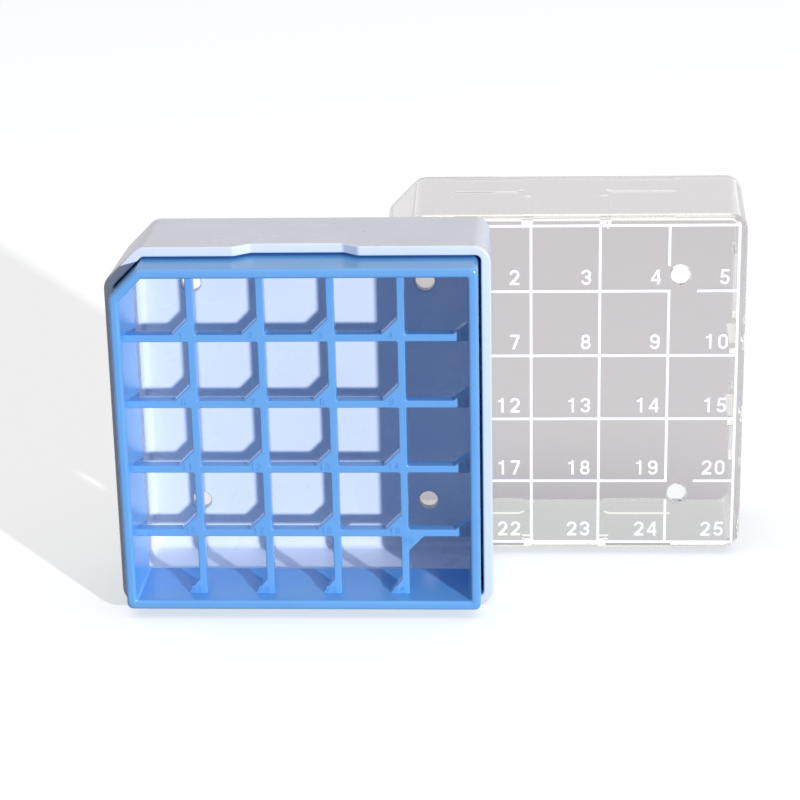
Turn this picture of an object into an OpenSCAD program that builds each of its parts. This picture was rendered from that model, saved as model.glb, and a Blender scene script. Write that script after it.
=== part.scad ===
// Cryogenic storage box for 25 tubes, opened up and standing on its side.
// The tray opens towards -Y, its divider slides out along -Y, and the lid stands behind it
// with its top plate towards the tray. All sizes are in millimetres.
// Origin: middle of the side face that the tray stands on. +Z up, +Y from the rim to the bottom.

/* [Tray] */
// Outside width and height of the square tray and of the lid's rim
box_w = 76; // [75:0.5:80]
// Depth of the tray from its rim to its bottom face
tray_depth = 25; // [24:0.5:30]
// Thickness of the tray's wall at the rim
tray_wall = 1.95; // [1.9:0.05:2.2]
// How much thicker the wall is below the ledge that carries the divider
ledge_w = 1; // [0.8:0.1:1.3]
// Thickness of the tray's floor
tray_floor = 2.5; // [1.5:0.1:3]
// Outside corner radius of the tray
tray_corner_r = 3.5; // [3:0.1:4]
// Length that the chamfered corner takes off each side, so that the box closes one way only
key_chamfer = 7; // [6:0.1:8]
// Depth of the finger recess in the middle of the upper and of the lower side of the rim
recess_depth = 2.3; // [1:0.1:3]
// Width of a recess at its bottom
recess_w = 18.2; // [12:0.2:24]
// Sideways run of the slope at each end of a recess
recess_slope = 3.1; // [1:0.1:4]

/* [Divider] */
// Gap between the divider and the tray's opening, on each side
divider_gap = 0.25; // [0.25:0.05:0.4]
// How far the loose divider lies off the middle of the opening, sideways and upwards
divider_off = [-0.2, -0.2]; // [-0.2:0.05:0]
// Wall thickness of the divider's frame
divider_wall = 2; // [1.6:0.05:2.1]
// Depth of the divider from its lip to its lower edge
divider_depth = 16.1; // [15:0.1:17]
// How far the divider's lip stands out of the tray's rim
lip_out = 7.3; // [5:0.1:8]
// How far the lattice lies behind the lip
lattice_inset = 3.9; // [3:0.1:6]
// Depth of the lattice's ribs
rib_depth = 2.6; // [2:0.1:5]
// Thickness of a rib
rib_w = 1.5; // [1.2:0.05:1.6]
// Distance between the middles of neighbouring ribs
cell_pitch = 13.73; // [13.5:0.01:13.8]
// Leg of the three-cornered web that carries each cell's number
web_leg = 3.1; // [2.6:0.1:3.4]
// Height of the raised numbers
raised_digit_h = 1.5; // [1:0.1:1.6]
// How far the raised numbers stand out
raised_digit_out = 0.15; // [0.1:0.05:0.3]

/* [Lid] */
// Depth of the lid from its plate to its rim
lid_depth = 28.7; // [27:0.1:32]
// Thickness of the lid's walls and plate
lid_wall = 1.4; // [1.2:0.05:1.5]
// How much narrower the lid is at the plate than at the rim, on each side
lid_draft = 1.05; // [0.5:0.05:1.5]
// Outside corner radius of the lid
lid_corner_r = 3.8; // [3.4:0.1:4.2]
// How far the lid stands to the right of the tray's middle
lid_x = 53; // [45:0.5:90]
// Gap between the tray's bottom face and the lid's plate
lid_gap = 1.2; // [0.6:0.1:20]
// Depth of the friction bands inside the rim
band_depth = 9.9; // [7:0.1:11]
// How far a friction band stands out of the wall
band_out = 0.45; // [0.3:0.05:0.5]
// Distance from the middle of a wall to the near end of a friction band
band_start = 8.8; // [8:0.1:12]
// Distance from the middle of a wall to the far end of a friction band
band_end = 23.3; // [20:0.1:26]
// Distance from the middle of a wall to each of its two stiffening ribs
brace_x = 8; // [6:0.1:10]
// Height of a stiffening rib above the wall
brace_out = 1.8; // [1:0.1:2.2]
// Width of a stiffening rib at the plate, and at its other end
brace_w = [2.4, 1.4]; // [1:0.1:3]
// Distance from the rim to the near end of a stiffening rib
brace_start = 12.3; // [11.5:0.1:16]

/* [Vents] */
// Diameter of the vent holes in the tray's floor and in the lid's plate
vent_d = 4; // [2:0.1:5]
// Distance of a vent hole from the middle, along both axes
tray_vent_x = 24.1; // [22:0.1:26]
// The same for the lid, sideways and upwards
lid_vent = [23.4, 24]; // [22:0.1:26]

/* [Print] */
// Distance between the middles of neighbouring printed lines, sideways and upwards
print_pitch = [14.15, 13.95]; // [13:0.05:14.2]
// How far the print lies off the plate's middle, sideways and upwards
print_off = [-0.15, -0.15]; // [-0.2:0.05:0.2]
// Width of a printed line
line_w = 0.55; // [0.4:0.05:1]
// Height of the printed numbers
printed_digit_h = 3.2; // [2:0.1:4]
// Thickness of the ink
ink = 0.06; // [0.04:0.01:0.12]
// Distance from a column's right line to its numbers' right edge, for each column
number_from_right = [2.4, 2.4, 1.85, 1.75, 1.85]; // [1:0.05:2.5]
// Distance from a row's lower line to its numbers' lower edge
number_from_below = 1.42; // [1:0.01:2]

/* [Hidden] */
$fn = 64;

cells = 5;
eps = 0.01;
half = box_w / 2;
// A chamfer's leg shrinks by this much for each millimetre that its outline is set in.
chamfer_loss = 2 - sqrt(2);

// Tray, along Y
rim_y = -tray_depth / 2;
bottom_y = tray_depth / 2;
back_round = 2;
opening_half = half - tray_wall;
opening_r = 1.2;
opening_chamfer = key_chamfer - chamfer_loss * tray_wall;
lower_half = opening_half - ledge_w;
lower_chamfer = opening_chamfer - chamfer_loss * ledge_w;
seat_gap = 0.1;

// Divider, along Y
lip_y = rim_y - lip_out;
seat_y = lip_y + divider_depth;
lattice_y = lip_y + lattice_inset;
divider_half = opening_half - divider_gap;
divider_inner = divider_half - divider_wall;
divider_chamfer = opening_chamfer - chamfer_loss * divider_gap;
divider_inner_chamfer = divider_chamfer - chamfer_loss * divider_wall;
divider_z = half + divider_off[1];
divider_r = 1.3;
divider_inner_r = 0.8;

// Lid, along Y
plate_y = bottom_y + lid_gap;
lid_rim_y = plate_y + lid_depth;
plate_half = half - lid_draft;
plate_chamfer = key_chamfer - chamfer_loss * lid_draft;
shoulder = 1.2;
lid_inner_half = half - lid_wall;
lid_inner_r = lid_corner_r - lid_wall;
lid_inner_chamfer = key_chamfer - chamfer_loss * lid_wall;
// Half width of the lid's cavity at a distance d behind the plate's outer face
function cavity_half(d) = lid_inner_half - lid_draft * (1 - d / lid_depth);
function cavity_chamfer(d) = lid_inner_chamfer - chamfer_loss * lid_draft * (1 - d / lid_depth);

// Print: where lines stop short of the vent holes
print_half = cells / 2 * print_pitch;
vent_stop = 5.6;
vent_resume = 6;
vent_side_stop = 4.5;

// ---------- shared shapes ----------

// Square of half width h with corners of radius r, its upper left corner cut off by leg c
module keyed_square(h, r, c) {
    difference() {
        union() {
            square([2 * (h - r), 2 * h], center = true);
            square([2 * h, 2 * (h - r)], center = true);
            for (x = [-1, 1], z = [-1, 1])
                translate([x * (h - r), z * (h - r)]) circle(r);
        }
        polygon([[-h - 1, h - c - 1], [-h - 1, h + 1], [-h + c + 1, h + 1]]);
    }
}

// A flat shape, drawn as seen from the front, made solid between two places along Y
module slab(y0, y1) {
    translate([0, y1, 0]) rotate([90, 0, 0]) linear_extrude(y1 - y0) children();
}

// The same shape on each of the four sides
module four_sides() {
    for (a = [0 : 90 : 270]) rotate([0, a, 0]) children();
}

// A round hole along Y at each of four places
module vent_holes(y0, y1, places) {
    for (x = [-1, 1], z = [-1, 1])
        translate([x * places[0], y1, z * places[1]]) rotate([90, 0, 0])
            cylinder(d = vent_d, h = y1 - y0);
}

// ---------- digits, 1 unit high ----------

digit_w = 0.62;
stroke = 0.15;

// Round-ended block, w wide and h high, from its lower left corner
module pill(w, h) {
    r = min(w, h) / 2;
    union() {
        translate([r, r]) circle(r, $fn = 24);
        translate([w - r, h - r]) circle(r, $fn = 24);
        if (w > h) translate([r, 0]) square([w - h, h]);
        if (h > w) translate([0, r]) square([w, h - w]);
    }
}

// Outline of a pill
module bowl(w, h) {
    difference() {
        pill(w, h);
        translate([stroke, stroke]) pill(w - 2 * stroke, h - 2 * stroke);
    }
}

bowl_h = 0.58;
upper_z = 1 - bowl_h;

module digit_0() bowl(digit_w, 1);

module digit_1() {
    translate([0.27, 0]) square([stroke, 1]);
    polygon([[0.06, 0.72], [0.27, 0.76], [0.3, 1], [0.24, 0.9], [0.06, 0.84]]);
}

module digit_2() {
    difference() {
        translate([0, upper_z]) bowl(digit_w, bowl_h);
        translate([-eps, upper_z - eps]) square([digit_w / 2, bowl_h / 2]);
        translate([0.3, upper_z - eps]) square([0.1, 0.2]);
    }
    polygon([[0, 0], [0.24, 0.1], [0.62, 0.55], [0.46, 0.6], [0, 0.14]]);
    square([digit_w, stroke]);
}

module digit_3() {
    difference() {
        union() {
            bowl(digit_w, bowl_h);
            translate([0, upper_z]) bowl(digit_w, bowl_h);
        }
        translate([-eps, 0.27]) square([0.26, 0.46]);
    }
}

module digit_4() {
    difference() {
        polygon([[0.56, 0], [0.56, 1], [0.4, 1], [0, 0.36], [0, 0.22], [0.4, 0.22], [0.4, 0]]);
        polygon([[0.4, 0.36], [0.4, 0.76], [0.15, 0.36]]);
    }
    translate([0.5, 0.22]) square([digit_w - 0.5, 0.14]);
}

module digit_5() {
    difference() {
        bowl(digit_w, 0.64);
        translate([-eps, 0.25]) square([0.2, 0.2]);
    }
    polygon([[0.05, 0.42], [0.2, 0.46], [0.24, 1], [0.1, 1]]);
    translate([0.1, 1 - stroke]) square([0.5, stroke]);
}

module digit_6() {
    bowl(digit_w, 0.62);
    difference() {
        bowl(digit_w, 1);
        translate([0.34, 0.3]) square([0.4, 0.44]);
    }
}

module digit_7() {
    translate([0, 1 - stroke]) square([digit_w, stroke]);
    polygon([[0.14, 0], [0.3, 0], [digit_w, 0.84], [digit_w, 1], [0.45, 0.84]]);
}

module digit_8() {
    bowl(digit_w, bowl_h);
    translate([0.03, upper_z]) bowl(digit_w - 0.06, bowl_h);
}

module digit_9() translate([digit_w, 1]) rotate(180) digit_6();

module digit(d) {
    if (d == 0) digit_0();
    if (d == 1) digit_1();
    if (d == 2) digit_2();
    if (d == 3) digit_3();
    if (d == 4) digit_4();
    if (d == 5) digit_5();
    if (d == 6) digit_6();
    if (d == 7) digit_7();
    if (d == 8) digit_8();
    if (d == 9) digit_9();
}

digit_step = 0.85;
function digits_in(n) = n > 9 ? 2 : 1;
function number_w(n) = digit_w + digit_step * (digits_in(n) - 1);

// The number n, 1 unit high, its lower left corner at the origin
module number(n) {
    if (n > 9) digit(floor(n / 10));
    translate([digit_step * (digits_in(n) - 1), 0]) digit(n % 10);
}

// ---------- tray ----------

// The tray's outside: straight sides, with the back edge rounded in steps of 15 degrees
module tray_outer() {
    hull() for (a = [0 : 15 : 90]) {
        inset = back_round * (1 - cos(a));
        slab(rim_y, bottom_y - back_round * (1 - sin(a)))
            keyed_square(half - inset, tray_corner_r - inset,
                         key_chamfer - chamfer_loss * inset, $fn = 32);
    }
}

// Finger recess through the upper wall's rim
module finger_recess() {
    bottom = recess_w / 2;
    mouth = bottom + recess_slope;
    translate([0, 0, half - tray_wall - 1.5])
        linear_extrude(tray_wall + 3)
            polygon([[-bottom, rim_y + recess_depth], [bottom, rim_y + recess_depth],
                     [mouth, rim_y], [mouth, rim_y - 1], [-mouth, rim_y - 1], [-mouth, rim_y]]);
}

module base_tray() {
    color("ghostwhite") translate([0, 0, half]) difference() {
        tray_outer();
        slab(rim_y - 1, seat_y + seat_gap)
            keyed_square(opening_half, opening_r, opening_chamfer);
        slab(seat_y, bottom_y - tray_floor) keyed_square(lower_half, opening_r, lower_chamfer);
        for (a = [0, 180]) rotate([0, a, 0]) finger_recess();
        vent_holes(bottom_y - tray_floor - 1, bottom_y + 1, [tray_vent_x, tray_vent_x]);
    }
}

// ---------- divider ----------

module divider_frame() {
    color("cornflowerblue") translate([divider_off[0], 0, divider_z]) difference() {
        slab(lip_y, seat_y) keyed_square(divider_half, divider_r, divider_chamfer);
        slab(lip_y - 1, seat_y + 1)
            keyed_square(divider_inner, divider_inner_r, divider_inner_chamfer);
    }
}

// Middle of rib i, counted from the left or from the bottom
function rib_at(i) = (i - (cells - 2) / 2) * cell_pitch;
// Left side of the rib or wall that closes column c on its right
function right_side(c) = c < cells - 1 ? rib_at(c) - rib_w / 2 : divider_inner;
// Upper side of the rib or wall that closes row r, counted from the top, at its bottom
function lower_side(r) = r < cells - 1 ? rib_at(cells - 2 - r) + rib_w / 2 : -divider_inner;

// Three-cornered web in a cell's lower right corner, or in the last cell's upper left one.
// Its right angle reaches a little way into the ribs that it joins.
module number_web(column, row) {
    last = column == cells - 1 && row == cells - 1;
    corner = last ? [rib_at(cells - 2) + rib_w / 2, rib_at(0) - rib_w / 2]
                  : [right_side(column), lower_side(row)];
    root = rib_w / 2;
    translate(corner) rotate(last ? 180 : 0)
        polygon([[root, -root], [root, web_leg], [0, web_leg], [-web_leg, 0], [-web_leg, -root]]);
}

module lattice() {
    intersection() {
        keyed_square(divider_inner, divider_inner_r, divider_inner_chamfer);
        union() {
            for (i = [0 : cells - 2]) {
                translate([rib_at(i), 0]) square([rib_w, box_w], center = true);
                translate([0, rib_at(i)]) square([box_w, rib_w], center = true);
            }
            for (column = [0 : cells - 1], row = [0 : cells - 1]) number_web(column, row);
        }
    }
}

module divider_grid() {
    color("cornflowerblue") translate([divider_off[0], 0, divider_z])
        slab(lattice_y, lattice_y + rib_depth) lattice();
}

// Where the middle of a raised number's lower edge lies
number_left = 1.15;
number_left_last_row = 0.55;
function raised_place(column, row) =
    column == cells - 1 && row == cells - 1
        ? [rib_at(cells - 2) + rib_w / 2, rib_at(0) - rib_w / 2 - raised_digit_h]
        : row == cells - 1
            ? [right_side(column) - (column == row ? number_left : number_left_last_row),
               lower_side(row) + 0.1]
            : [right_side(column) - number_left, lower_side(row) - 0.9];

module divider_numerals() {
    color("lightskyblue") translate([divider_off[0], 0, divider_z])
        slab(lattice_y - raised_digit_out, lattice_y)
            for (column = [0 : cells - 1], row = [0 : cells - 1]) {
                n = row * cells + column + 1;
                translate(raised_place(column, row)) scale(raised_digit_h)
                    translate([-number_w(n) / 2, 0]) number(n);
            }
}

// ---------- lid ----------

module lid_outer() {
    hull() {
        slab(plate_y, plate_y + shoulder / 2)
            keyed_square(plate_half - shoulder / 2, lid_corner_r - shoulder,
                         plate_chamfer - chamfer_loss * shoulder / 2, $fn = 32);
        slab(plate_y + shoulder / 2, plate_y + shoulder)
            keyed_square(plate_half, lid_corner_r, plate_chamfer, $fn = 32);
        slab(lid_rim_y - eps, lid_rim_y)
            keyed_square(half, lid_corner_r, key_chamfer, $fn = 32);
    }
}

module lid_cavity() {
    hull() {
        slab(plate_y + lid_wall, plate_y + lid_wall + eps)
            keyed_square(cavity_half(lid_wall), lid_inner_r, cavity_chamfer(lid_wall), $fn = 32);
        slab(lid_rim_y, lid_rim_y + eps)
            keyed_square(lid_inner_half, lid_inner_r, lid_inner_chamfer, $fn = 32);
    }
}

// The two friction bands inside the upper wall's rim
module friction_bands() {
    band_y = lid_rim_y - band_depth;
    root = cavity_half(lid_depth - band_depth) - band_out;
    for (side = [-1, 1])
        translate([side > 0 ? band_start : -band_end, band_y, root])
            cube([band_end - band_start, band_depth - 0.6, band_out + 0.7]);
}

// The two tapered stiffening ribs inside the upper wall
module braces() {
    end_y = lid_rim_y - brace_start;
    start_y = plate_y + lid_wall - 0.2;
    floor_z = cavity_half(lid_depth - brace_start) - brace_out;
    for (x = [-brace_x, brace_x])
        translate([x, 0, floor_z]) linear_extrude(brace_out + 0.7)
            polygon([[-brace_w[0] / 2, start_y], [brace_w[0] / 2, start_y],
                     [brace_w[1] / 2, end_y], [-brace_w[1] / 2, end_y]]);
}

module lid_shell() {
    color("gainsboro", 0.4) translate([lid_x, 0, half]) {
        difference() {
            lid_outer();
            lid_cavity();
            vent_holes(plate_y - 1, plate_y + lid_wall + 1, lid_vent);
        }
        four_sides() friction_bands();
        four_sides() braces();
    }
}

// ---------- print on the lid ----------

// Places of the upright lines, counted from the left, and of the level ones, from the bottom
function upright_x(i) = (i - cells / 2) * print_pitch[0];
function level_z(i) = (i - cells / 2) * print_pitch[1];

// A printed line from a to b, along one axis
module line(a, b) {
    w = line_w / 2;
    translate([min(a[0], b[0]) - w, min(a[1], b[1]) - w])
        square([abs(b[0] - a[0]) + line_w, abs(b[1] - a[1]) + line_w]);
}

module upright_line(x) line([x, -print_half[1]], [x, print_half[1]]);
module level_line(z, reach) line([-reach, z], [reach, z]);

// Pieces of the lines left of the second column and right of the fourth, which make way
// for the vent holes: the upright line stops above the hole and resumes below it, and the
// level line starts beyond the hole.
module broken_lines(side) {
    x = side * 1.5 * print_pitch[0];
    edge = side * print_half[0];
    upper = level_z(4);
    lower = level_z(1);
    line([x, print_half[1]], [x, upper + vent_stop]);
    line([x, upper - line_w / 2], [x, lower]);
    line([x, lower - vent_side_stop], [x, -print_half[1]]);
    for (z = [upper, lower]) line([x + side * vent_resume, z], [edge, z]);
}

// Puts a flat drawing on the plate as ink
module printed() {
    color("white") translate([lid_x + print_off[0], 0, half + print_off[1]])
        slab(plate_y - ink, plate_y) children();
}

module lid_grid_print() printed() {
    for (i = [0, 2, 3, 5]) {
        upright_line(upright_x(i));
        level_line(level_z(i), print_half[0]);
    }
    for (i = [1, 4]) level_line(level_z(i), 1.5 * print_pitch[0]);
    for (side = [-1, 1]) broken_lines(side);
}

module lid_number_print() printed()
    for (column = [0 : cells - 1], row = [0 : cells - 1]) {
        n = row * cells + column + 1;
        right = upright_x(column + 1) - number_from_right[column];
        base = level_z(cells - 1 - row) + number_from_below;
        translate([right - number_w(n) * printed_digit_h, base])
            scale(printed_digit_h) number(n);
    }

base_tray();
divider_frame();
divider_grid();
divider_numerals();
lid_shell();
lid_grid_print();
lid_number_print();
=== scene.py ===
"""Cryogenic storage box with 25 places: tray, lift-out divider and clear lid, in metres.

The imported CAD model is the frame. Each moulding is built again here as a lofted mesh with
rounded edges, in the CAD part's own place, and stands for its CAD node. The printed grid,
the printed numbers and the raised numbers are the CAD nodes themselves.
"""
import math

import bmesh
import bpy
from mathutils import Matrix, Vector


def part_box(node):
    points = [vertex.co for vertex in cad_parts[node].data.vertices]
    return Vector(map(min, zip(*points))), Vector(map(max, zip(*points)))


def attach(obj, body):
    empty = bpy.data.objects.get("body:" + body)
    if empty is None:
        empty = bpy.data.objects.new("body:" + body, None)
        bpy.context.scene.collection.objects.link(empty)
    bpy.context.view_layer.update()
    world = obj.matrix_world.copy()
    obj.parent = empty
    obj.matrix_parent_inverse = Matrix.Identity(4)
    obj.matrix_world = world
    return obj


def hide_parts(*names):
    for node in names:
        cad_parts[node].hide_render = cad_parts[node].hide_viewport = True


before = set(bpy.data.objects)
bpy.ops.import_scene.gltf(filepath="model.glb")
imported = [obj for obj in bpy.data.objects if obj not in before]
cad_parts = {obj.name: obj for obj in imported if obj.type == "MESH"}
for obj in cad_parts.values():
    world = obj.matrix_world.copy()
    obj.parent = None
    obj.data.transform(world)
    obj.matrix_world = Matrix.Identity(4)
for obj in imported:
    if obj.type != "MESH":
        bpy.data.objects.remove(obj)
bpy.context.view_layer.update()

MM = 0.001

# ---------------------------------------------------------------------------------------
# Places taken from the frame
# ---------------------------------------------------------------------------------------

tray_low, tray_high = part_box("base_tray")
HALF = (tray_high.x - tray_low.x) / 2
RIM_Y = tray_low.y
BOTTOM_Y = tray_high.y
TRAY_CENTRE = ((tray_low.x + tray_high.x) / 2, (tray_low.z + tray_high.z) / 2)

frame_low, frame_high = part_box("divider_frame")
LIP_Y = frame_low.y
SEAT_Y = frame_high.y
DIVIDER_CENTRE = ((frame_low.x + frame_high.x) / 2, (frame_low.z + frame_high.z) / 2)

grid_low, grid_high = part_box("divider_grid")
LATTICE_HALF = (grid_high.x - grid_low.x) / 2
LATTICE_Y = grid_low.y
LATTICE_BACK_Y = grid_high.y

lid_low, lid_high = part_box("lid_shell")
PLATE_Y = lid_low.y
LID_RIM_Y = lid_high.y
LID_CENTRE = ((lid_low.x + lid_high.x) / 2, (lid_low.z + lid_high.z) / 2)
LID_DEPTH = LID_RIM_Y - PLATE_Y

# ---------------------------------------------------------------------------------------
# Sizes of the mouldings
# ---------------------------------------------------------------------------------------

KEY_CHAMFER = 7 * MM
# A chamfer's leg shrinks by this much for each unit that its outline is set in.
CHAMFER_LOSS = 2 - math.sqrt(2)
VENT_R = 2 * MM
CELLS = 5

TRAY_WALL = 1.95 * MM
TRAY_FLOOR = 2.5 * MM
TRAY_CORNER_R = 3.5 * MM
OPENING_R = 1.2 * MM
TRAY_DRAFT = 0.45 * MM
TRAY_BACK_ROUND = 2 * MM
LEDGE_W = 1 * MM
LEDGE_GAP = 0.1 * MM
TRAY_EDGE = 0.35 * MM
TRAY_FILLET = 1.4 * MM
# The draft left at the rim, and the lean of the inner walls below the ledge
RIM_DRAFT = 0.06 * MM
INNER_DRAFT = 0.3 * MM
TRAY_VENT = 24.1 * MM
VENT_CHAMFER = 0.2 * MM
RECESS_DEPTH = 2.3 * MM
RECESS_FLAT = 9.1 * MM
RECESS_END = 12.2 * MM
RECESS_BLEND = 0.35 * MM

DIVIDER_GAP = 0.25 * MM
DIVIDER_WALL = 2 * MM
DIVIDER_R = 1.2 * MM
DIVIDER_DRAFT = 0.3 * MM
LIP_ROUND = 0.7 * MM
FOOT_ROUND = 0.3 * MM
RIB_W = 1.5 * MM
CELL_PITCH = 13.73 * MM
WEB_LEG = 3.1 * MM
RIB_ROUND = 0.25 * MM
RIB_BACK_ROUND = 0.2 * MM
CELL_CORNER_R = 0.35 * MM
# How far the lattice's open cells reach into the frame's wall, where nothing shows
INTO_FRAME = 0.9 * MM
# How far the lattice's border stays inside the frame's outer face
BORDER_INSET = 0.25 * MM

LID_WALL = 1.4 * MM
LID_DRAFT = 1.05 * MM
LID_CORNER_R = 3.8 * MM
SHOULDER = 1.2 * MM
LID_EDGE = 0.3 * MM
LID_FILLET = 0.5 * MM
LID_VENT = (23.4 * MM, 24 * MM)
BAND_DEPTH = 9.9 * MM
BAND_OUT = 0.45 * MM
BAND_START = 8.8 * MM
BAND_END = 23.3 * MM
BRACE_X = 8 * MM
BRACE_OUT = 1.8 * MM
BRACE_W = (2.4 * MM, 1.4 * MM)
BRACE_START = 12.3 * MM
BAND_SLANT = 1.2 * MM
# How far a band's end stays short of the lid's rim
BAND_SHORT = 0.6 * MM
# How deep bands and braces reach into the wall and the plate that carry them
RIB_ROOT = 0.7 * MM
BRACE_ROOT = 0.3 * MM

# ---------------------------------------------------------------------------------------
# Outlines and lofts
# ---------------------------------------------------------------------------------------


def keyed_square(half):
    """Corners of the box's outline, clockwise from the lower left one, seen from -Y."""
    return [
        Vector((-half, -half)),
        Vector((-half, half - KEY_CHAMFER)),
        Vector((-half + KEY_CHAMFER, half)),
        Vector((half, half)),
        Vector((half, -half)),
    ]


def inset_corners(corners, inset):
    """The same outline with every side moved inwards by inset; a negative inset grows it."""
    count = len(corners)
    moved = []
    for i, corner in enumerate(corners):
        before = (corner - corners[i - 1]).normalized()
        after = (corners[(i + 1) % count] - corner).normalized()
        # Inwards is to the right of a clockwise outline's direction of travel.
        normal_a = Vector((before.y, -before.x))
        normal_b = Vector((after.y, -after.x))
        middle = (normal_a + normal_b).normalized()
        moved.append(corner + middle * (inset / middle.dot(normal_a)))
    return moved


def rounded(corners, radius, arc_step=11.25, stops=()):
    """Points round an outline whose corners are arcs. stops are distances from a side's
    middle at which a long side gets a point of its own, on both sides of the middle."""
    count = len(corners)
    points = []
    for i, corner in enumerate(corners):
        before = (corner - corners[i - 1]).normalized()
        after = (corners[(i + 1) % count] - corner).normalized()
        turn = math.acos(max(-1.0, min(1.0, before.dot(after))))
        reach = radius * math.tan(turn / 2)
        start = corner - before * reach
        centre = start + Vector((before.y, -before.x)) * radius
        steps = max(2, round(math.degrees(turn) / arc_step))
        for step in range(steps + 1):
            angle = turn * step / steps
            arm = (start - centre) * math.cos(angle) + before * (radius * math.sin(angle))
            points.append(centre + arm)
        following = corners[(i + 1) % count]
        axis = 0 if abs(after.x) > 0.99 else 1 if abs(after.y) > 0.99 else None
        if axis is None or (following - corner).length < 2.5 * max(stops, default=0):
            continue
        direction = 1 if after[axis] > 0 else -1
        for stop in sorted([s * direction for s in stops] + [-s * direction for s in stops],
                           reverse=direction < 0):
            place = corner.copy()
            place[axis] = stop
            points.append(place)
    return points


def loft(name, rings, centre, caps=(True, True)):
    """A mesh through rings of equal count. A ring is a list of (x, z) with a list of y."""
    mesh = bpy.data.meshes.new(name)
    bm = bmesh.new()
    rows = [
        [bm.verts.new((p.x + centre[0], y, p.y + centre[1])) for p, y in zip(points, ys)]
        for points, ys in rings
    ]
    count = len(rows[0])
    for row, following in zip(rows, rows[1:]):
        for i in range(count):
            j = (i + 1) % count
            bm.faces.new((row[i], row[j], following[j], following[i]))
    if caps[0]:
        bm.faces.new(rows[0])
    if caps[1]:
        bm.faces.new(list(reversed(rows[-1])))
    bmesh.ops.recalc_face_normals(bm, faces=bm.faces)
    bm.to_mesh(mesh)
    bm.free()
    piece = bpy.data.objects.new(name, mesh)
    bpy.context.scene.collection.objects.link(piece)
    return piece


def arc(steps=5):
    """(sine, cosine) of angles from 0 to 90 degrees."""
    angles = [math.pi / 2 * i / steps for i in range(steps + 1)]
    return [(math.sin(a), math.cos(a)) for a in angles]


def soften(piece, angle=35):
    """Smooth shading that keeps flat faces flat and creases above angle sharp."""
    for polygon in piece.data.polygons:
        polygon.use_smooth = True
    piece.data.set_sharp_from_angle(angle=math.radians(angle))
    weighted = piece.modifiers.new("flat faces stay flat", "WEIGHTED_NORMAL")
    weighted.keep_sharp = True
    weighted.weight = 100


def boolean(piece, tool, operation):
    """Joins tool to piece or cuts it out, and removes the tool."""
    modifier = piece.modifiers.new(operation, "BOOLEAN")
    modifier.operation = operation
    modifier.solver = "EXACT"
    modifier.object = tool
    bpy.context.view_layer.update()
    evaluated = piece.evaluated_get(bpy.context.evaluated_depsgraph_get())
    mesh = bpy.data.meshes.new_from_object(evaluated)
    piece.modifiers.clear()
    piece.data = mesh
    bpy.data.objects.remove(tool)


def drill(piece, centre, places, y0, y1):
    """Cuts four round vent holes along Y through piece, with a fine chamfer on each edge."""
    bm = bmesh.new()
    mouth_r = VENT_R + VENT_CHAMFER
    profile = [(y0 - MM, mouth_r), (y0, mouth_r), (y0 + VENT_CHAMFER, VENT_R),
               (y1 - VENT_CHAMFER, VENT_R), (y1, mouth_r), (y1 + MM, mouth_r)]
    segments = 40
    for side_x in (-1, 1):
        for side_z in (-1, 1):
            x = centre[0] + side_x * places[0]
            z = centre[1] + side_z * places[1]
            rows = []
            for y, radius in profile:
                rows.append([
                    bm.verts.new((x + radius * math.cos(math.tau * k / segments), y,
                                  z + radius * math.sin(math.tau * k / segments)))
                    for k in range(segments)
                ])
            for row, following in zip(rows, rows[1:]):
                for k in range(segments):
                    n = (k + 1) % segments
                    bm.faces.new((row[k], row[n], following[n], following[k]))
            bm.faces.new(rows[0])
            bm.faces.new(list(reversed(rows[-1])))
    bmesh.ops.recalc_face_normals(bm, faces=bm.faces)
    mesh = bpy.data.meshes.new("drill")
    bm.to_mesh(mesh)
    bm.free()
    tool = bpy.data.objects.new("drill", mesh)
    bpy.context.scene.collection.objects.link(tool)
    boolean(piece, tool, "DIFFERENCE")


# ---------------------------------------------------------------------------------------
# Mouldings
# ---------------------------------------------------------------------------------------


def recess_share(distance):
    """How deep the finger recess is, from 0 to 1, at a distance from a side's middle."""
    slope = RECESS_END - RECESS_FLAT
    samples = [distance - RECESS_BLEND, distance, distance + RECESS_BLEND]
    return sum(max(0.0, min(1.0, (RECESS_END - s) / slope)) for s in samples) / 3


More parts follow.
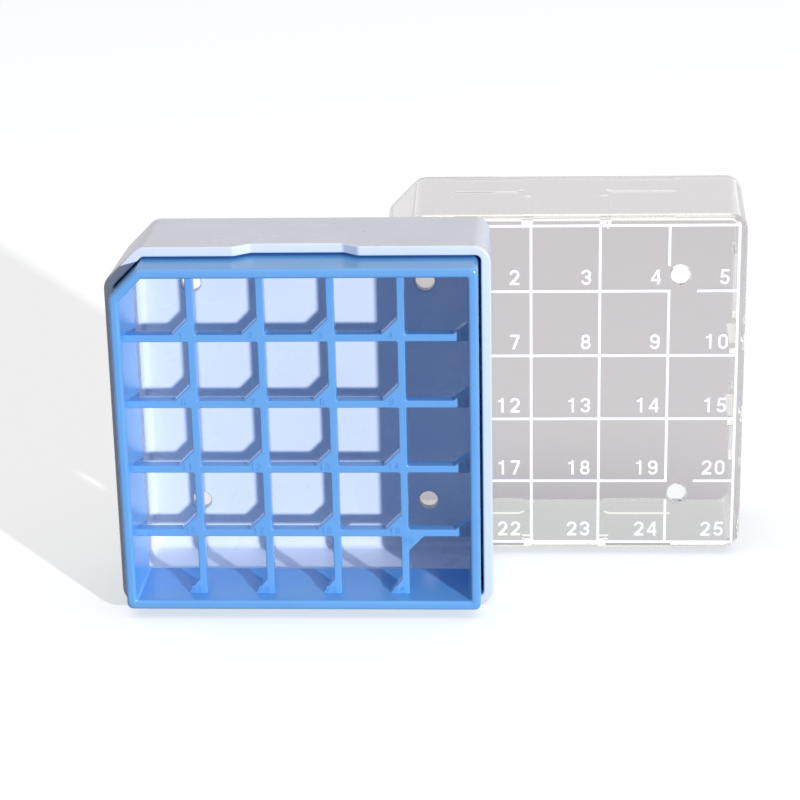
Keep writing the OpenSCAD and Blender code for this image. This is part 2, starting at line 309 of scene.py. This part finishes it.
def make_tray():
    """The tray, from its bottom's rounded edge up the outside, over the rim and down inside."""
    stops = [place + step * RECESS_BLEND
             for place in (RECESS_FLAT, RECESS_END) for step in (-1, 0, 1)]
    corners = keyed_square(HALF)
    rim_zone = 2 * TRAY_WALL

    def ring(inset, radius, y, recessed=0.0):
        points = rounded(inset_corners(corners, inset), radius, stops=stops)
        ys = []
        for p in points:
            on_level_side = abs(p.y) > HALF - rim_zone
            share = recess_share(abs(p.x)) if on_level_side else 0.0
            ys.append(y + recessed * RECESS_DEPTH * share)
        return points, ys

    floor_y = BOTTOM_Y - TRAY_FLOOR
    below_recess = RIM_Y + RECESS_DEPTH + 2 * TRAY_EDGE
    lower = TRAY_WALL + LEDGE_W
    rings = []
    for sine, cosine in arc(6):
        inset = TRAY_DRAFT + TRAY_BACK_ROUND * (1 - sine)
        rings.append(ring(inset, TRAY_CORNER_R - inset * 0.8,
                          BOTTOM_Y - TRAY_BACK_ROUND * (1 - cosine)))
    rings.append(ring(RIM_DRAFT, TRAY_CORNER_R, below_recess))
    for sine, cosine in arc(4):
        rings.append(ring(TRAY_EDGE * (1 - cosine), TRAY_CORNER_R,
                          RIM_Y + TRAY_EDGE * (1 - sine), 1))
    for sine, cosine in arc(4):
        rings.append(ring(TRAY_WALL - TRAY_EDGE * (1 - sine), OPENING_R,
                          RIM_Y + TRAY_EDGE * (1 - cosine), 1))
    rings.append(ring(TRAY_WALL, OPENING_R, below_recess))
    ledge_y = SEAT_Y + LEDGE_GAP
    rings.append(ring(TRAY_WALL, OPENING_R, ledge_y))
    rings.append(ring(lower, OPENING_R, ledge_y))
    for sine, cosine in arc(4):
        rings.append(ring(lower + INNER_DRAFT + TRAY_FILLET * (1 - cosine), TRAY_FILLET,
                          floor_y - TRAY_FILLET * (1 - sine)))
    tray = loft("tray_moulding", rings, TRAY_CENTRE)
    drill(tray, TRAY_CENTRE, (TRAY_VENT, TRAY_VENT), floor_y, BOTTOM_Y)
    soften(tray)
    return tray


def make_divider_frame():
    """The insert's wall: a closed band with a rounded lip and a finely rounded foot."""
    corners = inset_corners(keyed_square(HALF), TRAY_WALL + DIVIDER_GAP)

    def ring(inset, radius, y):
        points = rounded(inset_corners(corners, inset), radius)
        return points, [y] * len(points)

    inner_r = DIVIDER_R - LIP_ROUND
    rings = []
    for sine, cosine in arc(3):
        rings.append(ring(DIVIDER_DRAFT / 2 + FOOT_ROUND * (1 - sine), DIVIDER_R,
                          SEAT_Y - FOOT_ROUND * (1 - cosine)))
    for sine, cosine in arc(6):
        rings.append(ring(LIP_ROUND * (1 - cosine), DIVIDER_R, LIP_Y + LIP_ROUND * (1 - sine)))
    for sine, cosine in arc(6):
        rings.append(ring(DIVIDER_WALL - LIP_ROUND * (1 - sine), inner_r,
                          LIP_Y + LIP_ROUND * (1 - cosine)))
    for sine, cosine in arc(3):
        rings.append(ring(DIVIDER_WALL + DIVIDER_DRAFT - FOOT_ROUND * (1 - cosine), inner_r,
                          SEAT_Y - FOOT_ROUND * (1 - sine)))
    # The last ring meets the first one across the narrow lower edge.
    rings.append(rings[0])
    piece = loft("divider_wall_moulding", rings, DIVIDER_CENTRE, caps=(False, False))
    weld(piece)
    soften(piece)
    return piece


def weld(piece):
    """Merges points that lie on each other."""
    bm = bmesh.new()
    bm.from_mesh(piece.data)
    bmesh.ops.remove_doubles(bm, verts=bm.verts, dist=1e-7)
    bmesh.ops.recalc_face_normals(bm, faces=bm.faces)
    bm.to_mesh(piece.data)
    bm.free()


def rib_at(index):
    """Place of a rib's middle, counted from the left or from below, from the lattice's centre."""
    return (index - (CELLS - 2) / 2) * CELL_PITCH


def cell_corners(column, row):
    """Outline of one cell, clockwise, with its number's web cut off, row 0 at the top."""
    half_rib = RIB_W / 2
    wall = LATTICE_HALF + INTO_FRAME
    x0 = -wall if column == 0 else rib_at(column - 1) + half_rib
    x1 = wall if column == CELLS - 1 else rib_at(column) - half_rib
    z1 = wall if row == 0 else rib_at(CELLS - 1 - row) - half_rib
    z0 = -wall if row == CELLS - 1 else rib_at(CELLS - 2 - row) + half_rib
    # Beside the frame the web starts at the frame's inner side.
    web_x = WEB_LEG + (x1 - LATTICE_HALF if column == CELLS - 1 else 0)
    web_z = WEB_LEG + (-LATTICE_HALF - z0 if row == CELLS - 1 else 0)
    if column == row == CELLS - 1:
        return [Vector((x0, z0)), Vector((x0, z1 - WEB_LEG)), Vector((x0 + WEB_LEG, z1)),
                Vector((x1, z1)), Vector((x1, z0))]
    upper_left = [Vector((x0, z1))]
    if column == row == 0:
        chamfer = KEY_CHAMFER - CHAMFER_LOSS * (HALF - wall)
        upper_left = [Vector((x0, z1 - chamfer)), Vector((x0 + chamfer, z1))]
    return [Vector((x0, z0)), *upper_left, Vector((x1, z1)),
            Vector((x1, z0 + web_z)), Vector((x1 - web_x, z0))]


def make_divider_grid():
    """The lattice: a wall round each cell with rounded edges, and flat faces between them."""
    bm = bmesh.new()
    front_edges, back_edges = [], []

    def add_ring(corners, inset, y, radius):
        points = rounded(inset_corners(corners, inset), radius, arc_step=22.5)
        return [bm.verts.new((p.x + DIVIDER_CENTRE[0], y, p.y + DIVIDER_CENTRE[1]))
                for p in points]

    def bridge(rows):
        count = len(rows[0])
        for row, following in zip(rows, rows[1:]):
            for i in range(count):
                j = (i + 1) % count
                bm.faces.new((row[i], row[j], following[j], following[i]))

    def border(row):
        count = len(row)
        return [bm.edges.get((row[i], row[(i + 1) % count])) for i in range(count)]

    for column in range(CELLS):
        for row in range(CELLS):
            corners = cell_corners(column, row)
            rows = []
            for sine, cosine in arc(4):
                rows.append(add_ring(corners, -RIB_ROUND * (1 - sine),
                                     LATTICE_Y + RIB_ROUND * (1 - cosine),
                                     CELL_CORNER_R + RIB_ROUND * (1 - sine)))
            for sine, cosine in arc(2):
                rows.append(add_ring(corners, -RIB_BACK_ROUND * (1 - cosine),
                                     LATTICE_BACK_Y - RIB_BACK_ROUND * (1 - sine),
                                     CELL_CORNER_R + RIB_BACK_ROUND * (1 - cosine)))
            bridge(rows)
            front_edges += border(rows[0])
            back_edges += border(rows[-1])
    outside = inset_corners(keyed_square(HALF), TRAY_WALL + DIVIDER_GAP + BORDER_INSET)
    outer = [add_ring(outside, 0, y, DIVIDER_R) for y in (LATTICE_Y, LATTICE_BACK_Y)]
    bridge(outer)
    for edges, ring in ((front_edges, outer[0]), (back_edges, outer[1])):
        bmesh.ops.triangle_fill(bm, use_beauty=True, edges=edges + border(ring))
    bmesh.ops.recalc_face_normals(bm, faces=bm.faces)
    mesh = bpy.data.meshes.new("divider_lattice_moulding")
    bm.to_mesh(mesh)
    bm.free()
    piece = bpy.data.objects.new("divider_lattice_moulding", mesh)
    bpy.context.scene.collection.objects.link(piece)
    soften(piece)
    return piece


def lid_inset(y):
    """How far the lid's outside lies inside its rim's outline, at a place along Y."""
    return LID_DRAFT * (LID_RIM_Y - y) / LID_DEPTH


def make_lid():
    """The lid, from its plate's shoulder along the outside, over the rim and back inside."""
    corners = keyed_square(HALF)

    def ring(inset, radius, y):
        points = rounded(inset_corners(corners, inset), radius)
        return points, [y] * len(points)

    inner_r = LID_CORNER_R - LID_WALL
    plate_in = PLATE_Y + LID_WALL
    rings = []
    for sine, cosine in arc(6):
        y = PLATE_Y + SHOULDER * (1 - cosine)
        inset = lid_inset(PLATE_Y) + SHOULDER * (1 - sine)
        rings.append(ring(inset, LID_CORNER_R - SHOULDER * (1 - sine), y))
    for sine, cosine in arc(3):
        rings.append(ring(LID_EDGE * (1 - cosine), LID_CORNER_R,
                          LID_RIM_Y - LID_EDGE * (1 - sine)))
    for sine, cosine in arc(3):
        rings.append(ring(LID_WALL - LID_EDGE * (1 - sine), inner_r,
                          LID_RIM_Y - LID_EDGE * (1 - cosine)))
    for sine, cosine in arc(4):
        y = plate_in + LID_FILLET * (1 - sine)
        inset = lid_inset(y) + LID_WALL + LID_FILLET * (1 - cosine)
        rings.append(ring(inset, inner_r, y))
    lid = loft("lid_moulding", rings, LID_CENTRE)
    drill(lid, LID_CENTRE, LID_VENT, PLATE_Y, plate_in)
    boolean(lid, lid_ribs(), "UNION")
    soften(lid)
    return lid


def lid_ribs():
    """The friction bands and the stiffening ribs inside the lid's four walls, as one mesh."""
    bm = bmesh.new()
    band_y = LID_RIM_Y - BAND_DEPTH
    band_end = LID_RIM_Y - BAND_SHORT
    brace_end = LID_RIM_Y - BRACE_START
    brace_from = PLATE_Y + LID_WALL - BRACE_ROOT

    def wall_half(y):
        return HALF - LID_WALL - lid_inset(y)

    def solid(footprint, height_low, turn):
        """footprint: (across, y) points; the solid runs from height_low into the wall."""
        top = [(a, y, wall_half(y) + RIB_ROOT) for a, y in footprint]
        low = [(a, y, height_low(y)) for a, y in footprint]
        cos_t, sin_t = (1, 0, -1, 0)[turn], (0, 1, 0, -1)[turn]

        def put(a, y, h):
            return bm.verts.new((LID_CENTRE[0] + a * cos_t + h * sin_t, y,
                                 LID_CENTRE[1] - a * sin_t + h * cos_t))

        rows = [[put(*p) for p in low], [put(*p) for p in top]]
        count = len(footprint)
        for i in range(count):
            j = (i + 1) % count
            bm.faces.new((rows[0][i], rows[0][j], rows[1][j], rows[1][i]))
        bm.faces.new(rows[0])
        bm.faces.new(list(reversed(rows[1])))

    for turn in range(4):
        for side in (-1, 1):
            near, far = side * BAND_START, side * BAND_END
            band = [(near, band_y + BAND_SLANT), (near + side * BAND_SLANT, band_y),
                    (far, band_y), (far, band_end), (near, band_end)]
            solid(band, lambda y: wall_half(y) - BAND_OUT, turn)
            wide, narrow = BRACE_W[0] / 2, BRACE_W[1] / 2
            x = side * BRACE_X
            brace = [(x - wide, brace_from), (x + wide, brace_from),
                     (x + narrow, brace_end), (x - narrow, brace_end)]
            solid(brace, lambda y: wall_half(y) - BRACE_OUT, turn)
    bmesh.ops.recalc_face_normals(bm, faces=bm.faces)
    mesh = bpy.data.meshes.new("lid_ribs")
    bm.to_mesh(mesh)
    bm.free()
    tool = bpy.data.objects.new("lid_ribs", mesh)
    bpy.context.scene.collection.objects.link(tool)
    return tool


# ---------------------------------------------------------------------------------------
# Materials
# ---------------------------------------------------------------------------------------

# Scales of the noise, in features for each metre
CLOUD_SCALE = 60
SMUDGE_SCALE = 140
SCUFF_SCALE = 220
GRAIN_SCALE = 2500
GRAIN_HEIGHT = 0.1 * MM


def new_material(name):
    material = bpy.data.materials.new(name)
    material.use_nodes = True
    nodes = material.node_tree.nodes
    return material, nodes, material.node_tree.links, nodes["Principled BSDF"]


def noise(nodes, links, coordinates, scale, detail):
    texture = nodes.new("ShaderNodeTexNoise")
    texture.inputs["Scale"].default_value = scale
    texture.inputs["Detail"].default_value = detail
    links.new(coordinates.outputs["Object"], texture.inputs["Vector"])
    return texture


def ranged(nodes, links, source, low, high):
    """source, from 0.3 to 0.7, spread over low to high."""
    spread = nodes.new("ShaderNodeMapRange")
    spread.inputs["From Min"].default_value = 0.3
    spread.inputs["From Max"].default_value = 0.7
    spread.inputs["To Min"].default_value = low
    spread.inputs["To Max"].default_value = high
    links.new(source, spread.inputs["Value"])
    return spread.outputs["Result"]


def moulded_plastic(name, colour, darker, roughness, bump=0.02):
    """Smooth moulded plastic: slight clouding, uneven gloss, fine scuffs and a soft bump."""
    material, nodes, links, shader = new_material(name)
    coordinates = nodes.new("ShaderNodeTexCoord")
    cloud = noise(nodes, links, coordinates, CLOUD_SCALE, 2)
    mix = nodes.new("ShaderNodeMix")
    mix.data_type = "RGBA"
    mix.inputs["A"].default_value = (*darker, 1)
    mix.inputs["B"].default_value = (*colour, 1)
    links.new(ranged(nodes, links, cloud.outputs["Fac"], 0, 1), mix.inputs["Factor"])
    links.new(mix.outputs["Result"], shader.inputs["Base Color"])
    smudge = noise(nodes, links, coordinates, SMUDGE_SCALE, 4)
    links.new(ranged(nodes, links, smudge.outputs["Fac"], roughness * 0.8, roughness * 1.2),
              shader.inputs["Roughness"])
    grain = noise(nodes, links, coordinates, GRAIN_SCALE, 2)
    relief = nodes.new("ShaderNodeBump")
    relief.inputs["Strength"].default_value = bump
    relief.inputs["Distance"].default_value = GRAIN_HEIGHT
    links.new(grain.outputs["Fac"], relief.inputs["Height"])
    links.new(relief.outputs["Normal"], shader.inputs["Normal"])
    return material, shader


def tray_material():
    material, shader = moulded_plastic(
        "milky white polycarbonate", (0.82, 0.87, 0.95), (0.785, 0.835, 0.915), 0.3)
    shader.inputs["IOR"].default_value = 1.5
    return material


def divider_material():
    material, shader = moulded_plastic(
        "sky blue polycarbonate", (0.155, 0.45, 0.84), (0.145, 0.42, 0.81), 0.2)
    shader.inputs["IOR"].default_value = 1.5
    return material


def lid_material():
    """Clear plastic, nearly without tint, with faint scuffs."""
    material, nodes, links, shader = new_material("clear polycarbonate")
    shader.inputs["Base Color"].default_value = (0.985, 0.985, 0.96, 1)
    shader.inputs["Transmission Weight"].default_value = 1
    shader.inputs["IOR"].default_value = 1.4
    coordinates = nodes.new("ShaderNodeTexCoord")
    scuffs = noise(nodes, links, coordinates, SCUFF_SCALE, 5)
    links.new(ranged(nodes, links, scuffs.outputs["Fac"], 0.0, 0.05),
              shader.inputs["Roughness"])
    return material


def ink_and_painted_glow_material():
    """Matt white ink with a painted glow of its own, though it is no lamp, so that it stands out
    on the clear lid.
    """
    material, shader = moulded_plastic(
        "white ink", (0.95, 0.95, 0.95), (0.91, 0.91, 0.91), 0.55, bump=0.1)
    # Painted glow: the ink gives off a faint light of its own.
    shader.inputs["Emission Color"].default_value = (1, 1, 1, 1)
    shader.inputs["Emission Strength"].default_value = 0.25
    return material


def dress(piece, material):
    piece.data.materials.clear()
    piece.data.materials.append(material)


def dress_node(name, material):
    """Gives a CAD node's material slots a better material."""
    for material_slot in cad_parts[name].material_slots:
        material_slot.material = material


# ---------------------------------------------------------------------------------------
# Stage
# ---------------------------------------------------------------------------------------

CAMERA_PLACE = (45.19 * MM, -449.94 * MM, 199.39 * MM)
CAMERA_YAW = -0.058
CAMERA_PITCH = 0.340
CAMERA_ROLL = 0.021
LENS = 105.54
SENSOR = 36

KEY_PLACE = (470 * MM, -665 * MM, 217 * MM)
KEY_COLOUR = (0.83, 0.865, 1.0)
KEY_POWER = 41.5
KEY_RADIUS = 11 * MM
TOP_COLOUR = (1.0, 0.86, 0.76)
TOP_STRENGTH = 1.12
TOP_ANGLE = 90
ROOM_COLOUR = (1, 1, 1, 1)
ROOM_FILL = (0.11, 0.12, 0.16, 1)
FLOOR_COLOUR = 0.9
FLOOR_GLOW = (0.44, 0.476, 0.473, 1)
FLOOR_SIZE = 8
GLOW_BEHIND_ONE_WALL = 0.06
GLOW_BEHIND_TWO_WALLS = 0.48
LIGHT_BOUNCES = 24
BOUNCES_IN_PLASTIC = 20


def make_floor():
    """A plain pale floor that adds a glow of its own, so that it stays white in the light."""
    bpy.ops.mesh.primitive_plane_add(size=FLOOR_SIZE, location=(0, 0, 0))
    floor = bpy.context.object
    floor.name = "floor"
    material, nodes, links, shader = new_material("pale floor")
    shader.inputs["Base Color"].default_value = (FLOOR_COLOUR, FLOOR_COLOUR, FLOOR_COLOUR, 1)
    shader.inputs["Roughness"].default_value = 0.9
    shader.inputs["Specular IOR Level"].default_value = 0.0
    shader.inputs["Emission Color"].default_value = FLOOR_GLOW
    # Behind the clear lid the floor glows less. Behind a second wall it glows more again: painted
    # light that makes the lid's lower part, seen through two walls, look brighter. A wall's two
    # faces count as two in the depth.
    path = nodes.new("ShaderNodeLightPath")
    painted_light_behind_walls = nodes.new("ShaderNodeMapRange")
    painted_light_behind_walls.inputs["From Min"].default_value = 2
    painted_light_behind_walls.inputs["From Max"].default_value = 4
    painted_light_behind_walls.inputs["To Min"].default_value = GLOW_BEHIND_ONE_WALL
    painted_light_behind_walls.inputs["To Max"].default_value = GLOW_BEHIND_TWO_WALLS
    links.new(path.outputs["Transmission Depth"], painted_light_behind_walls.inputs["Value"])
    glow = nodes.new("ShaderNodeMapRange")
    glow.inputs["To Min"].default_value = 1
    links.new(path.outputs["Transmission Depth"], glow.inputs["Value"])
    links.new(painted_light_behind_walls.outputs["Result"], glow.inputs["To Max"])
    links.new(glow.outputs["Result"], shader.inputs["Emission Strength"])
    dress(floor, material)
    floor.visible_diffuse = False


def make_camera():
    """Looks slightly down on the front, from the right, as from a bench half a metre away."""
    data = bpy.data.cameras.new("camera")
    camera = bpy.data.objects.new("camera", data)
    bpy.context.scene.collection.objects.link(camera)
    data.sensor_width = SENSOR
    data.lens = LENS
    data.clip_start = 10 * MM
    camera.location = CAMERA_PLACE
    forward = Vector((math.sin(CAMERA_YAW) * math.cos(CAMERA_PITCH),
                      math.cos(CAMERA_YAW) * math.cos(CAMERA_PITCH),
                      -math.sin(CAMERA_PITCH)))
    level_right = Vector((math.cos(CAMERA_YAW), -math.sin(CAMERA_YAW), 0))
    level_up = level_right.cross(forward)
    right = level_right * math.cos(CAMERA_ROLL) - level_up * math.sin(CAMERA_ROLL)
    up = level_right * math.sin(CAMERA_ROLL) + level_up * math.cos(CAMERA_ROLL)
    camera.rotation_mode = "QUATERNION"
    camera.rotation_quaternion = Matrix((right, up, -forward)).transposed().to_quaternion()
    bpy.context.scene.camera = camera


def add_light(name, kind, colour, strength):
    data = bpy.data.lights.new(name, kind)
    data.color = colour
    data.energy = strength
    light = bpy.data.objects.new(name, data)
    bpy.context.scene.collection.objects.link(light)
    return light


def make_key():
    """A small hard lamp whose light doesn't fade with distance, so that the floor stays even."""
    key = add_light("key", "POINT", KEY_COLOUR, KEY_POWER)
    key.location = KEY_PLACE
    key.data.shadow_soft_size = KEY_RADIUS
    key.data.use_nodes = True
    nodes, links = key.data.node_tree.nodes, key.data.node_tree.links
    falloff = nodes.new("ShaderNodeLightFalloff")
    falloff.inputs["Strength"].default_value = 1
    links.new(falloff.outputs["Constant"], nodes["Emission"].inputs["Strength"])


def make_room():
    """A white room that gives only a weak fill, but shows brightly in reflections."""
    world = bpy.data.worlds.new("studio")
    bpy.context.scene.world = world
    world.use_nodes = True
    nodes, links = world.node_tree.nodes, world.node_tree.links
    path = nodes.new("ShaderNodeLightPath")
    colour = nodes.new("ShaderNodeMix")
    colour.data_type = "RGBA"
    colour.inputs["A"].default_value = ROOM_COLOUR
    colour.inputs["B"].default_value = ROOM_FILL
    links.new(path.outputs["Diffuse Depth"], colour.inputs["Factor"])
    links.new(colour.outputs["Result"], nodes["Background"].inputs["Color"])


def make_lights():
    """A low hard key from the front right, a broad light from above, and the room."""
    make_key()
    top = add_light("top", "SUN", TOP_COLOUR, TOP_STRENGTH)
    top.data.angle = math.radians(TOP_ANGLE)
    make_room()


tray = make_tray()
divider_frame = make_divider_frame()
divider_grid = make_divider_grid()
lid = make_lid()

milky_white = tray_material()
sky_blue = divider_material()
clear = lid_material()
white_ink_and_painted_glow = ink_and_painted_glow_material()

for piece, node, body, slot_name, material in (
    (tray, "base_tray", "tray", "tray_white", milky_white),
    (divider_frame, "divider_frame", "divider", "divider_blue", sky_blue),
    (divider_grid, "divider_grid", "divider", "divider_blue", sky_blue),
    (lid, "lid_shell", "lid", "lid_clear", clear),
):
    dress(piece, material)
    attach(piece, body)
    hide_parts(node)
dress_node("divider_numerals", sky_blue)
dress_node("lid_grid_print", white_ink_and_painted_glow)
dress_node("lid_number_print", white_ink_and_painted_glow)
for piece in (lid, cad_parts["lid_grid_print"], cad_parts["lid_number_print"]):
    piece.visible_shadow = False

make_floor()
make_camera()
make_lights()
bpy.context.scene.view_settings.view_transform = "Standard"
cycles = bpy.context.scene.cycles
cycles.use_denoising = True
# Light runs far along inside the clear lid's walls before it comes out.
cycles.max_bounces = LIGHT_BOUNCES
cycles.glossy_bounces = BOUNCES_IN_PLASTIC
cycles.transmission_bounces = BOUNCES_IN_PLASTIC
# The lamps already reach the floor under the lid, because the lid throws no shadow.
cycles.caustics_reflective = False
cycles.caustics_refractive = False
